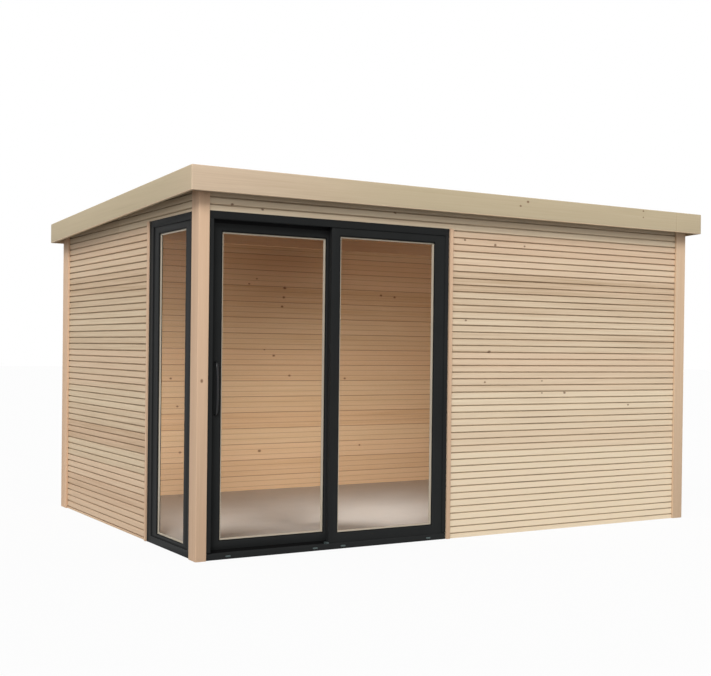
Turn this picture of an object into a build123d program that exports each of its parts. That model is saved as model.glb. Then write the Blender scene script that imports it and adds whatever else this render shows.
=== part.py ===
from build123d import *
import os

os.makedirs("parts", exist_ok=True)

# Plan of the shed over its corner boards, with the front facing -Y
width = 3985.0
depth = 2695.0

# Pent roof, falling from front to back inside a ring of fascia boards
roof_overhang = 82.0
rear_overhang = 66.0
head_rise = 246.0
roof_fall = 106.0
fascia_height = 147.0
fascia_thickness = 18.0
fascia_lip = 6.0
fascia_joint_inset = 265.0
fascia_joint_width = 1.5
fascia_joint_depth = 3.0
felt_thickness = 4.0
deck_thickness = 18.0
purlin_width = 45.0
purlin_height = 140.0
purlin_count = 3

# Wall boards with ribs along their outer face
wall_thickness = 44.0
wall_set_back = 15.0
rib_pitch = 45.0
groove_mouth = 11.0
groove_bed = 5.0
groove_depth = 9.0
ribs_per_log = 3
log_joint_width = 6.0
log_joint_depth = 3.0
front_first_groove = 32.0
side_first_groove = 16.0
board_joint_place = 1450.0
board_joint_foot = 1994.0
board_joint_width = 2.0
board_joint_depth = 4.0

# Corners and the strips beside the door and the window
post_width = 70.0
post_depth = 110.0
post_easing = 5.0
corner_board_width = 95.0
rear_corner_board_width = 125.0
corner_easing = 2.0
door_strip_width = 26.0
window_strip_width = 20.0
fitting_gap = 3.0

# Door and window frames
frame_height = 2066.0
frame_set_back = 12.0
door_width = 1718.0
frame_web = 6.0
frame_lip = 6.0
frame_fin = 5.0
head_height = 46.0
jamb_face = 28.0
sill_base = 20.0
sill_front_height = 38.0
sill_fin_height = 34.0
rail_width = 5.0
rail_height = 14.0

# Leaves of the sliding door
leaf_thickness = 36.0
running_gap = 6.0
pane_thickness = 20.0
pane_bite = 12.0
bead_chamfer = 4.0
fixed_leaf_start = 830.0
fixed_meeting_stile = 60.0
fixed_outer_stile = 100.0
fixed_bottom_rail = 79.0
fixed_top_rail = 84.0
leaf_overlap = 53.0
sliding_outer_stile = 93.0
sliding_meeting_stile = 65.0
sliding_bottom_rail = 51.0
sliding_top_rail = 46.0
sliding_top_recess = 19.0
leaf_stop_length = 14.0
leaf_stop_height = 26.0

# Running gear and handle of the sliding leaf
roller_radius = 12.0
roller_flange = 3.0
roller_width = 10.0
rail_play = 0.5
seat_gap = 0.3
axle_radius = 3.0
carriage_length = 80.0
carriage_width = 20.0
carriage_pocket = 19.0
carriage_drop = 10.0
carriage_inset = 130.0
wheel_slot_length = 36.0
wheel_slot_width = 12.0
guide_inset = 20.0
guide_thickness = 24.0
guide_height = 48.0
handle_height = 310.0
handle_centre = 1016.0
handle_reach = 36.0
handle_width = 16.0
handle_grip = 11.0
handle_corner = 16.0

# Caps over the drain slots in the sill
weep_length = 34.0
weep_height = 10.0
weep_thickness = 4.0
weep_level = 18.0
weep_end_inset = 140.0
weep_meeting_inset = 100.0

# Fixed side window
window_width = 699.0
window_frame_face = 45.0
window_cover_width = 20.0
window_cover_thickness = 2.0
sash_set_back = 6.0
sash_thickness = 27.0
sash_stile = 82.0
sash_top_rail = 42.0
sash_bottom_rail = 22.0
window_pane_thickness = 12.0
window_pane_bite = 10.0

# Floor
floor_top = 45.0
floor_thickness = 19.0
bearer_width = 70.0
bearer_count = 6

# Outer planes of the shed
left = -width / 2
right = width / 2
front = -(depth + rear_overhang - roof_overhang) / 2
back = front + depth
left_face = left + wall_set_back
right_face = right - wall_set_back
front_face = front + wall_set_back
back_face = back - wall_set_back
left_inside = left_face + wall_thickness
right_inside = right_face - wall_thickness
front_inside = front_face + wall_thickness
back_inside = back_face - wall_thickness

# Roof planes, each given by its height at the front edge
roof_left = left - roof_overhang
roof_right = right + roof_overhang
roof_front = front - roof_overhang
roof_back = back + rear_overhang
roof_slope = roof_fall / (roof_back - roof_front)
roof_top = frame_height + head_rise
felt_top = roof_top - fascia_lip
deck_top = felt_top - felt_thickness
deck_under = deck_top - deck_thickness
cut_height = roof_top + fascia_height

# Places along the front
door_left = left + post_width + fitting_gap
door_right = door_left + door_width
frame_front = front + frame_set_back
fixed_leaf_face = frame_front + frame_lip
fixed_leaf_back = fixed_leaf_face + leaf_thickness
sliding_leaf_face = fixed_leaf_back + frame_fin + running_gap
sliding_leaf_back = sliding_leaf_face + leaf_thickness
frame_back = sliding_leaf_back + running_gap + frame_lip
wall_start = door_right + fitting_gap
head_under = frame_height - head_height

# Places along the left side
window_front = front + post_depth + fitting_gap
window_back = window_front + window_width
left_wall_start = window_back + window_cover_width + fitting_gap
window_face = left + frame_set_back
sash_outside = window_face + sash_set_back

# Places of the leaves
fixed_leaf_left = door_left + fixed_leaf_start
fixed_leaf_right = door_right - frame_web
weep_places = (
    door_left + weep_end_inset,
    fixed_leaf_left - weep_meeting_inset,
    fixed_leaf_left + weep_meeting_inset,
    door_right - weep_end_inset,
)
fixed_leaf_top = frame_height - frame_web - running_gap
sliding_leaf_left = door_left + frame_web + running_gap
sliding_leaf_right = fixed_leaf_left + leaf_overlap
sliding_leaf_low = floor_top + running_gap
sliding_leaf_top = head_under - sliding_top_recess
track_y = (sliding_leaf_face + sliding_leaf_back) / 2
rail_top = sill_base + rail_height
wheel_z = rail_top + seat_gap + roller_radius
carriage_places = (sliding_leaf_left + carriage_inset, sliding_leaf_right - carriage_inset)
handle_x = sliding_leaf_left + (jamb_face - frame_web + sliding_outer_stile) / 2
fascia_joint_x = roof_right - fascia_joint_inset


def roof_plane(front_height):
    """Plane parallel to the roof that has the given height above the front edge."""
    return Plane(
        origin=(0, roof_front, front_height), x_dir=(1, 0, 0), z_dir=(0, roof_slope, 1)
    )


def rectangle_between(low, high, mode=Mode.ADD):
    """Rectangle from its low corner to its high corner in the sketch's own axes."""
    with Locations(((low[0] + high[0]) / 2, (low[1] + high[1]) / 2)):
        Rectangle(high[0] - low[0], high[1] - low[1], mode=mode)


def ribbed_face(inner, outer, foot, first_groove):
    """Section of a wall: grooved between its ribs outside, with a fine joint at each log inside."""
    outward = 1 if outer > inner else -1
    bed = outer - outward * groove_depth
    outline = [(inner, foot), (outer, foot)]
    for step in range(int(cut_height / rib_pitch)):
        middle = first_groove + step * rib_pitch
        if middle - groove_mouth / 2 > foot:
            outline.append((outer, middle - groove_mouth / 2))
            outline.append((bed, middle - groove_bed / 2))
            outline.append((bed, middle + groove_bed / 2))
            outline.append((outer, middle + groove_mouth / 2))
    outline.append((outer, cut_height))
    outline.append((inner, cut_height))
    for step in reversed(range(0, int(cut_height / rib_pitch), ribs_per_log)):
        middle = first_groove + step * rib_pitch
        if middle - log_joint_width / 2 > foot:
            outline.append((inner, middle + log_joint_width / 2))
            outline.append((inner + outward * log_joint_depth, middle))
            outline.append((inner, middle - log_joint_width / 2))
    with BuildLine() as border:
        Polyline(*outline, close=True)
    make_face(border.edges())


def frame_section(web, front_tooth, fin_tooth, rear_tooth):
    """Section of a frame bar with its two leaf channels, across the frame's depth."""
    fin_start = frame_lip + leaf_thickness
    channel_end = frame_back - frame_front - frame_lip
    outline = [
        (0, 0),
        (frame_back - frame_front, 0),
        (frame_back - frame_front, rear_tooth),
        (channel_end, rear_tooth),
        (channel_end, web),
        (fin_start + frame_fin, web),
        (fin_start + frame_fin, fin_tooth),
        (fin_start, fin_tooth),
        (fin_start, web),
        (frame_lip, web),
        (frame_lip, front_tooth),
        (0, front_tooth),
    ]
    with BuildLine() as border:
        Polyline(*outline, close=True)
    make_face(border.edges())


def glazed_frame(plane, outer, daylight, thickness, pane, bite):
    """Frame of one leaf or sash, grooved for its pane; corners are in the plane's axes."""
    with BuildSketch(plane) as ring:
        rectangle_between(*outer)
        rectangle_between(*daylight, mode=Mode.SUBTRACT)
    extrude(ring.sketch, amount=thickness)
    outside = faces().sort_by(Axis(plane.origin, plane.z_dir))[-1]
    chamfer(outside.inner_wires()[0].edges(), length=bead_chamfer)
    with BuildSketch(plane.offset((thickness - pane) / 2)) as groove:
        rectangle_between(*grown(daylight, bite))
    extrude(groove.sketch, amount=pane, mode=Mode.SUBTRACT)


def glass_pane(plane, daylight, thickness, pane, bite):
    """Pane that fills the groove of a glazed frame."""
    with BuildSketch(plane.offset((thickness - pane) / 2)) as sheet:
        rectangle_between(*grown(daylight, bite))
    extrude(sheet.sketch, amount=pane)


def grown(corners, margin):
    """The same two corners moved apart by a margin on every side."""
    low, high = corners
    return (low[0] - margin, low[1] - margin), (high[0] + margin, high[1] + margin)


# Front wall to the right of the door
with BuildPart() as front_wall:
    with BuildSketch(Plane.YZ.offset(wall_start)):
        ribbed_face(front_inside, front_face, 0, front_first_groove)
    extrude(amount=right_face - wall_start)
    split(bisect_by=roof_plane(deck_under), keep=Keep.BOTTOM)
front_wall.part.label = "front_wall"
export_step(front_wall.part, "parts/front_wall.step")

# Front wall over the door
with BuildPart() as door_head_wall:
    with BuildSketch(Plane.YZ.offset(left + post_width)):
        ribbed_face(front_inside, front_face, frame_height, front_first_groove)
    extrude(amount=wall_start - left - post_width)
    split(bisect_by=roof_plane(deck_under), keep=Keep.BOTTOM)
door_head_wall.part.label = "door_head_wall"
export_step(door_head_wall.part, "parts/door_head_wall.step")

# Left wall behind the window
with BuildPart() as left_wall:
    with BuildSketch(Plane.XZ.offset(-back_face)):
        ribbed_face(left_inside, left_face, 0, side_first_groove)
    extrude(amount=back_face - left_wall_start)
    split(bisect_by=roof_plane(deck_under), keep=Keep.BOTTOM)
    with BuildSketch(Plane.XY.offset(board_joint_foot)):
        rectangle_between(
            (left_face, front + board_joint_place),
            (left_face + board_joint_depth, front + board_joint_place + board_joint_width),
        )
    extrude(amount=cut_height - board_joint_foot, mode=Mode.SUBTRACT)
left_wall.part.label = "left_wall"
export_step(left_wall.part, "parts/left_wall.step")

# Left wall over the window
with BuildPart() as window_head_wall:
    with BuildSketch(Plane.XZ.offset(-left_wall_start)):
        ribbed_face(left_inside, left_face, frame_height, side_first_groove)
    extrude(amount=left_wall_start - front - post_depth)
    split(bisect_by=roof_plane(deck_under), keep=Keep.BOTTOM)
window_head_wall.part.label = "window_head_wall"
export_step(window_head_wall.part, "parts/window_head_wall.step")

# Right wall between the front wall and the back corner
with BuildPart() as right_wall:
    with BuildSketch(Plane.XZ.offset(-back_face)):
        ribbed_face(right_inside, right_face, 0, side_first_groove)
    extrude(amount=back_face - front_inside)
    split(bisect_by=roof_plane(deck_under), keep=Keep.BOTTOM)
right_wall.part.label = "right_wall"
export_step(right_wall.part, "parts/right_wall.step")

# Back wall between the side walls
with BuildPart() as back_wall:
    with BuildSketch(Plane.YZ.offset(left_inside)):
        ribbed_face(back_inside, back_face, 0, front_first_groove)
    extrude(amount=right_inside - left_inside)
    split(bisect_by=roof_plane(deck_under), keep=Keep.BOTTOM)
back_wall.part.label = "back_wall"
export_step(back_wall.part, "parts/back_wall.step")

# Post between the door and the window
with BuildPart() as front_left_post:
    with BuildSketch(Plane.XY):
        rectangle_between((left, front), (left + post_width, front + post_depth))
    extrude(amount=cut_height)
    fillet(front_left_post.edges().filter_by(Axis.Z), radius=post_easing)
    split(bisect_by=roof_plane(deck_under), keep=Keep.BOTTOM)
front_left_post.part.label = "front_left_post"
export_step(front_left_post.part, "parts/front_left_post.step")

# Boards that cover the other three corners, each of two legs round the wall ends
corner_boards = {
    "front_right_corner_board": (right, front, corner_board_width, corner_board_width),
    "back_right_corner_board": (right, back, corner_board_width, corner_board_width),
    "back_left_corner_board": (left, back, corner_board_width, rear_corner_board_width),
}
for name, (corner_x, corner_y, leg_x, leg_y) in corner_boards.items():
    inward_x = -1 if corner_x > 0 else 1
    inward_y = -1 if corner_y > 0 else 1
    step_x = inward_x * wall_set_back
    step_y = inward_y * wall_set_back
    with BuildPart() as corner_board:
        with BuildSketch(Plane.XY):
            with BuildLine():
                Polyline(
                    (corner_x, corner_y),
                    (corner_x + inward_x * leg_x, corner_y),
                    (corner_x + inward_x * leg_x, corner_y + step_y),
                    (corner_x + step_x, corner_y + step_y),
                    (corner_x + step_x, corner_y + inward_y * leg_y),
                    (corner_x, corner_y + inward_y * leg_y),
                    close=True,
                )
            make_face()
        extrude(amount=cut_height)
        outer_edge = corner_board.edges().filter_by(Axis.Z).sort_by_distance((corner_x, corner_y, 0))[0]
        fillet(outer_edge, radius=corner_easing)
        split(bisect_by=roof_plane(deck_under), keep=Keep.BOTTOM)
    corner_board.part.label = name
    export_step(corner_board.part, f"parts/{name}.step")

# Strip on the front wall beside the door frame
with BuildPart() as door_strip:
    with BuildSketch(Plane.XY):
        rectangle_between((wall_start, front), (wall_start + door_strip_width, front_face))
    extrude(amount=frame_height)
door_strip.part.label = "door_strip"
export_step(door_strip.part, "parts/door_strip.step")

# Strip on the left wall beside the window frame
with BuildPart() as window_strip:
    with BuildSketch(Plane.XY):
        rectangle_between(
            (left, left_wall_start), (left_face, left_wall_start + window_strip_width)
        )
    extrude(amount=frame_height)
window_strip.part.label = "window_strip"
export_step(window_strip.part, "parts/window_strip.step")

# Head of the door frame, with its channels open below
with BuildPart() as door_head:
    with BuildSketch(
        Plane(origin=(door_right, frame_front, frame_height), x_dir=(0, 1, 0), z_dir=(-1, 0, 0))
    ):
        frame_section(frame_web, head_height, head_height, head_height)
    extrude(amount=door_width)
door_head.part.label = "door_head"
export_step(door_head.part, "parts/door_head.step")

# Left jamb, which receives the sliding leaf
with BuildPart() as door_left_jamb:
    with BuildSketch(
        Plane(origin=(door_left, frame_front, head_under), x_dir=(0, 1, 0), z_dir=(0, 0, -1))
    ):
        frame_section(frame_web, jamb_face, jamb_face, jamb_face)
    extrude(amount=head_under - floor_top)
door_left_jamb.part.label = "door_left_jamb"
export_step(door_left_jamb.part, "parts/door_left_jamb.step")

# Right jamb, which holds the fixed leaf
with BuildPart() as door_right_jamb:
    with BuildSketch(
        Plane(origin=(door_right, frame_front, floor_top), x_dir=(0, 1, 0), z_dir=(0, 0, 1))
    ):
        frame_section(frame_web, jamb_face, jamb_face, jamb_face)
    extrude(amount=head_under - floor_top)
door_right_jamb.part.label = "door_right_jamb"
export_step(door_right_jamb.part, "parts/door_right_jamb.step")

# Sill with the running rail of the sliding leaf
with BuildPart() as door_sill:
    with BuildSketch(
        Plane(origin=(door_left, frame_front, 0), x_dir=(0, 1, 0), z_dir=(1, 0, 0))
    ):
        frame_section(sill_base, sill_front_height, sill_fin_height, floor_top)
        rail_middle = track_y - frame_front
        rectangle_between(
            (rail_middle - rail_width / 2, sill_base), (rail_middle + rail_width / 2, rail_top)
        )
    extrude(amount=door_width)
door_sill.part.label = "door_sill"
export_step(door_sill.part, "parts/door_sill.step")

# Caps over the drain slots
with BuildPart() as weep_covers:
    with BuildSketch(Plane.XZ.offset(-frame_front)):
        with Locations(*[(place, weep_level) for place in weep_places]):
            SlotOverall(weep_length, weep_height)
    extrude(amount=weep_thickness)
weep_covers.part.label = "weep_covers"
export_step(weep_covers.part, "parts/weep_covers.step")

# Fixed leaf of the door and its pane
fixed_plane = Plane.XZ.offset(-fixed_leaf_back)
fixed_outer = ((fixed_leaf_left, sill_base), (fixed_leaf_right, fixed_leaf_top))
fixed_daylight = (
    (fixed_leaf_left + fixed_meeting_stile, sill_base + fixed_bottom_rail),
    (fixed_leaf_right - fixed_outer_stile, fixed_leaf_top - fixed_top_rail),
)
with BuildPart() as fixed_leaf_frame:
    glazed_frame(
        fixed_plane, fixed_outer, fixed_daylight, leaf_thickness, pane_thickness, pane_bite
    )
fixed_leaf_frame.part.label = "fixed_leaf_frame"
export_step(fixed_leaf_frame.part, "parts/fixed_leaf_frame.step")

with BuildPart() as fixed_leaf_glass:
    glass_pane(fixed_plane, fixed_daylight, leaf_thickness, pane_thickness, pane_bite)
fixed_leaf_glass.part.label = "fixed_leaf_glass"
export_step(fixed_leaf_glass.part, "parts/fixed_leaf_glass.step")

# Block in the sill channel that keeps the fixed leaf in place
with BuildPart() as fixed_leaf_stop:
    with BuildSketch(Plane.XY.offset(sill_base)):
        rectangle_between(
            (fixed_leaf_left - leaf_stop_length, fixed_leaf_face), (fixed_leaf_left, fixed_leaf_back)
        )
    extrude(amount=leaf_stop_height)
fixed_leaf_stop.part.label = "fixed_leaf_stop"
export_step(fixed_leaf_stop.part, "parts/fixed_leaf_stop.step")

# Sliding leaf of the door, with pockets under its bottom rail, and its pane
sliding_plane = Plane.XZ.offset(-sliding_leaf_back)
sliding_outer = ((sliding_leaf_left, sliding_leaf_low), (sliding_leaf_right, sliding_leaf_top))
sliding_daylight = (
    (sliding_leaf_left + sliding_outer_stile, sliding_leaf_low + sliding_bottom_rail),
    (sliding_leaf_right - sliding_meeting_stile, sliding_leaf_top - sliding_top_rail),
)
with BuildPart() as sliding_leaf_frame:
    glazed_frame(
        sliding_plane, sliding_outer, sliding_daylight, leaf_thickness, pane_thickness, pane_bite
    )
    with BuildSketch(Plane.XY.offset(sliding_leaf_low)):
        with Locations(*[(place, track_y) for place in carriage_places]):
            Rectangle(carriage_length, carriage_width)
    extrude(amount=carriage_pocket, mode=Mode.SUBTRACT)
sliding_leaf_frame.part.label = "sliding_leaf_frame"
export_step(sliding_leaf_frame.part, "parts/sliding_leaf_frame.step")

with BuildPart() as sliding_leaf_glass:
    glass_pane(sliding_plane, sliding_daylight, leaf_thickness, pane_thickness, pane_bite)
sliding_leaf_glass.part.label = "sliding_leaf_glass"
export_step(sliding_leaf_glass.part, "parts/sliding_leaf_glass.step")

# Roller carriages in the pockets, each a slotted block with a grooved wheel on its axle
groove_half = rail_width / 2 + rail_play
flange_radius = roller_radius + roller_flange
with BuildPart() as leaf_rollers:
    with BuildSketch(Plane.XY.offset(sliding_leaf_low - carriage_drop)):
        with Locations(*[(place, track_y) for place in carriage_places]):
            Rectangle(carriage_length, carriage_width)
            Rectangle(wheel_slot_length, wheel_slot_width, mode=Mode.SUBTRACT)
    extrude(amount=carriage_drop + carriage_pocket)
    with BuildSketch(Plane.XZ.offset(-track_y - carriage_width / 2)):
        with Locations(*[(place, wheel_z) for place in carriage_places]):
            Circle(axle_radius)
    extrude(amount=carriage_width)
    for place in carriage_places:
        axle = Axis((place, track_y, wheel_z), (0, 1, 0))
        with BuildSketch(Plane.YZ.offset(place)):
            with BuildLine():
                Polyline(
                    (track_y - roller_width / 2, wheel_z),
                    (track_y - roller_width / 2, wheel_z + flange_radius),
                    (track_y - groove_half, wheel_z + flange_radius),
                    (track_y - groove_half, wheel_z + roller_radius),
                    (track_y + groove_half, wheel_z + roller_radius),
                    (track_y + groove_half, wheel_z + flange_radius),
                    (track_y + roller_width / 2, wheel_z + flange_radius),
                    (track_y + roller_width / 2, wheel_z),
                    close=True,
                )
            make_face()
        revolve(axis=axle)
leaf_rollers.part.label = "leaf_rollers"
export_step(leaf_rollers.part, "parts/leaf_rollers.step")

# Guide strip along the top of the sliding leaf, which runs in the head channel and closes it
with BuildPart() as leaf_top_guides:
    with BuildSketch(Plane.XY.offset(sliding_leaf_top)):
        rectangle_between(
            (sliding_leaf_left + guide_inset, track_y - guide_thickness / 2),
            (sliding_leaf_right - guide_inset, track_y + guide_thickness / 2),
        )
    extrude(amount=guide_height)
leaf_top_guides.part.label = "leaf_top_guides"
export_step(leaf_top_guides.part, "parts/leaf_top_guides.step")

# Bow handle on the outer stile of the sliding leaf
handle_low = handle_centre - handle_height / 2
handle_high = handle_centre + handle_height / 2
with BuildPart() as door_handle:
    with BuildLine():
        FilletPolyline(
            (handle_x, sliding_leaf_face, handle_low),
            (handle_x, sliding_leaf_face - handle_reach, handle_low),
            (handle_x, sliding_leaf_face - handle_reach, handle_high),
            (handle_x, sliding_leaf_face, handle_high),
            radius=handle_corner,
        )
    with BuildSketch(
        Plane(origin=(handle_x, sliding_leaf_face, handle_low), x_dir=(1, 0, 0), z_dir=(0, -1, 0))
    ):
        RectangleRounded(handle_width, handle_grip, radius=handle_grip / 3)
    sweep()
door_handle.part.label = "door_handle"
export_step(door_handle.part, "parts/door_handle.step")

# Side window: outer frame, inner sash and pane
window_plane = Plane(origin=(left_inside, 0, 0), x_dir=(0, -1, 0), z_dir=(-1, 0, 0))
window_depth = left_inside - window_face
window_opening = (
    (-window_back + window_frame_face, window_frame_face),
    (-window_front - window_frame_face, frame_height - window_frame_face),
)
with BuildPart() as window_frame:
    with BuildSketch(window_plane):
        rectangle_between((-window_back, 0), (-window_front, frame_height))
        rectangle_between(*window_opening, mode=Mode.SUBTRACT)
    extrude(amount=window_depth)
window_frame.part.label = "window_frame"
export_step(window_frame.part, "parts/window_frame.step")

# Cover between the window frame and the wall
with BuildPart() as window_cover:
    with BuildSketch(Plane.XY):
        rectangle_between(
            (window_face - window_cover_thickness, window_back),
            (left_inside, window_back + window_cover_width),
        )
    extrude(amount=frame_height)
    chamfer(window_cover.edges().filter_by(Axis.Z).group_by(Axis.X)[0], length=corner_easing)
window_cover.part.label = "window_cover"
export_step(window_cover.part, "parts/window_cover.step")

window_daylight = (
    (window_opening[0][0] + sash_stile, window_opening[0][1] + sash_bottom_rail),
    (window_opening[1][0] - sash_stile, window_opening[1][1] - sash_top_rail),
)
sash_plane = window_plane.offset(left_inside - sash_outside - sash_thickness)
with BuildPart() as window_sash:
    glazed_frame(
        sash_plane,
        window_opening,
        window_daylight,
        sash_thickness,
        window_pane_thickness,
        window_pane_bite,
    )
window_sash.part.label = "window_sash"
export_step(window_sash.part, "parts/window_sash.step")

with BuildPart() as window_glass:
    glass_pane(
        sash_plane, window_daylight, sash_thickness, window_pane_thickness, window_pane_bite
    )
window_glass.part.label = "window_glass"
export_step(window_glass.part, "parts/window_glass.step")

# Floor deck, cut back round the door frame
floor_low = floor_top - floor_thickness
with BuildPart() as floor_deck:
    with BuildSketch(Plane.XY.offset(floor_low)):
        rectangle_between((left_inside, front_inside), (right_inside, back_inside))
        rectangle_between((left_inside, front_inside), (wall_start, frame_back), mode=Mode.SUBTRACT)
    extrude(amount=floor_thickness)
floor_deck.part.label = "floor_deck"
export_step(floor_deck.part, "parts/floor_deck.step")

# Bearers under the floor, from front to back
bearer_spacing = (right_inside - left_inside - bearer_width) / (bearer_count - 1)
with BuildPart() as floor_bearers:
    with BuildSketch(Plane.XY):
        with Locations((0, (frame_back + back_inside) / 2)):
            with GridLocations(bearer_spacing, 0, bearer_count, 1):
                Rectangle(bearer_width, back_inside - frame_back)
    extrude(amount=floor_low)
floor_bearers.part.label = "floor_bearers"
export_step(floor_bearers.part, "parts/floor_bearers.step")

# Purlins under the roof deck, from side wall to side wall
purlin_spacing = (back_inside - front_inside) / (purlin_count + 1)
with BuildPart() as roof_purlins:
    for step in range(purlin_count):
        purlin_y = front_inside + (step + 1) * purlin_spacing
        purlin_top = deck_under - roof_slope * (purlin_y - roof_front)
        with BuildSketch(Plane.YZ.offset(left_inside)):
            rectangle_between(
                (purlin_y - purlin_width / 2, purlin_top - purlin_height),
                (purlin_y + purlin_width / 2, cut_height),
            )
        extrude(amount=right_inside - left_inside)
    split(bisect_by=roof_plane(deck_under), keep=Keep.BOTTOM)
roof_purlins.part.label = "roof_purlins"
export_step(roof_purlins.part, "parts/roof_purlins.step")

# Roof deck and felt inside the ring of fascia boards
roof_layers = {
    "roof_deck": (deck_under, deck_top),
    "roof_felt": (deck_top, felt_top),
}
for name, (layer_under, layer_top) in roof_layers.items():
    with BuildPart() as layer:
        with BuildSketch(Plane.XY):
            rectangle_between(
                (roof_left + fascia_thickness, roof_front + fascia_thickness),
                (roof_right - fascia_thickness, roof_back - fascia_thickness),
            )
        extrude(amount=cut_height)
        split(bisect_by=roof_plane(layer_top), keep=Keep.BOTTOM)
        split(bisect_by=roof_plane(layer_under), keep=Keep.TOP)
    layer.part.label = name
    export_step(layer.part, f"parts/{name}.step")

# Fascia boards, mitred at the corners and cut along the roof's slope
outer_corners = (
    (roof_left, roof_front),
    (roof_right, roof_front),
    (roof_right, roof_back),
    (roof_left, roof_back),
)
inner_corners = (
    (roof_left + fascia_thickness, roof_front + fascia_thickness),
    (roof_right - fascia_thickness, roof_front + fascia_thickness),
    (roof_right - fascia_thickness, roof_back - fascia_thickness),
    (roof_left + fascia_thickness, roof_back - fascia_thickness),
)
for side, name in enumerate(("fascia_front", "fascia_right", "fascia_back", "fascia_left")):
    following = (side + 1) % len(outer_corners)
    with BuildPart() as fascia:
        with BuildSketch(Plane.XY):
            with BuildLine():
                Polyline(
                    outer_corners[side],
                    outer_corners[following],
                    inner_corners[following],
                    inner_corners[side],
                    close=True,
                )
            make_face()
        extrude(amount=cut_height)
        split(bisect_by=roof_plane(roof_top), keep=Keep.BOTTOM)
        split(bisect_by=roof_plane(roof_top - fascia_height), keep=Keep.TOP)
        if name == "fascia_front":
            with BuildSketch(Plane.XY):
                rectangle_between(
                    (fascia_joint_x, roof_front),
                    (fascia_joint_x + fascia_joint_width, roof_front + fascia_joint_depth),
                )
            extrude(amount=cut_height, mode=Mode.SUBTRACT)
    fascia.part.label = name
    export_step(fascia.part, f"parts/{name}.step")
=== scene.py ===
# %% [markdown]
# # A garden shed with a sliding glass door
# The shed is a wooden cabin under a single sloping roof. Its walls are planed logs with ribs along
# their outer face, a wide glass door slides across the front, and a tall window stands in the left side.
# The solid model is loaded first and never moved. Every finish and every finer piece is then added in
# the same metres and on the same axes: X along the front, Y from front to back, Z up.

# %% Load the solid model
import math

import bmesh
import bpy
import numpy as np
from mathutils import Matrix, Vector


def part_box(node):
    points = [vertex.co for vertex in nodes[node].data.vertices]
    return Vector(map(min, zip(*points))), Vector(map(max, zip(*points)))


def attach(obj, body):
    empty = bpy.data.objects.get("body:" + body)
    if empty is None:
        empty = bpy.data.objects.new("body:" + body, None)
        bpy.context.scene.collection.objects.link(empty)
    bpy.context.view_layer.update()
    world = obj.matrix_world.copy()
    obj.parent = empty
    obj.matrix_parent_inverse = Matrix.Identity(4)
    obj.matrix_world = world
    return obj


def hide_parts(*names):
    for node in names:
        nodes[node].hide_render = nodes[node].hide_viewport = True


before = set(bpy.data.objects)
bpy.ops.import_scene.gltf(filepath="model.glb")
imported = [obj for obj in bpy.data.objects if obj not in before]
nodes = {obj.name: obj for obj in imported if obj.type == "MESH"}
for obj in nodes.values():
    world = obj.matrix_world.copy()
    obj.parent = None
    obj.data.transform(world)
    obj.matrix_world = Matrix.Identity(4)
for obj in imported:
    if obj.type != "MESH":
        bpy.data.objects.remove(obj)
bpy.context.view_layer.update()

# %% [markdown]
# ## Camera
# The picture was taken from eye height in front of the left corner. A camera can be aimed with a
# constraint or by its own matrix. The matrix is used, because the small roll of the picture is then one
# more turn: the view axis comes from a heading and a pitch, and the other two axes turn about it.

# %% Camera
heading, pitch, roll = (math.radians(v) for v in (31.536, -0.507, 0.690))
sight = Vector((math.sin(heading) * math.cos(pitch), math.cos(heading) * math.cos(pitch), math.sin(pitch)))
level = Vector((math.cos(heading), -math.sin(heading), 0.0))
upward = level.cross(sight)
right_axis = math.cos(roll) * level + math.sin(roll) * upward
up_axis = -math.sin(roll) * level + math.cos(roll) * upward
camera_data = bpy.data.cameras.new("camera")
camera_data.sensor_width = 36.0
camera_data.lens = 58.46
camera_data.shift_x, camera_data.shift_y = -0.0274, 0.0291
camera = bpy.data.objects.new("camera", camera_data)
bpy.context.scene.collection.objects.link(camera)
turn = Matrix((right_axis, up_axis, -sight)).transposed()
camera.matrix_world = Matrix.Translation((-4.6349, -7.6275, 1.2646)) @ turn.to_4x4()
bpy.context.scene.camera = camera
print("camera", tuple(round(v, 3) for v in camera.location), "lens", camera_data.lens)

# %% [markdown]
# ## Shader expressions
# A node tree grows long when each sum needs its own lines. One small class holds a socket, and the
# operators on it add the Math nodes, so a mask is written as it would be on paper. One method adds any
# other node: its settings are given first, then the values or links of its sockets.

# %% Shader expressions
class Value:
    """A socket of a node tree, on which arithmetic adds Math nodes."""

    def __init__(self, finish, socket):
        self.finish, self.socket = finish, socket

    def math(self, operation, *others, clamp=False):
        settings = {"operation": operation, "use_clamp": clamp}
        return self.finish.node("ShaderNodeMath", settings, dict(enumerate((self, *others))))

    def __add__(self, other):
        return self.math("ADD", other)

    def __sub__(self, other):
        return self.math("SUBTRACT", other)

    def __rsub__(self, other):
        return (self * -1.0).math("ADD", other)

    def __mul__(self, other):
        return self.math("MULTIPLY", other)

    def __truediv__(self, other):
        return self.math("DIVIDE", other)

    __radd__, __rmul__ = __add__, __mul__


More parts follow.
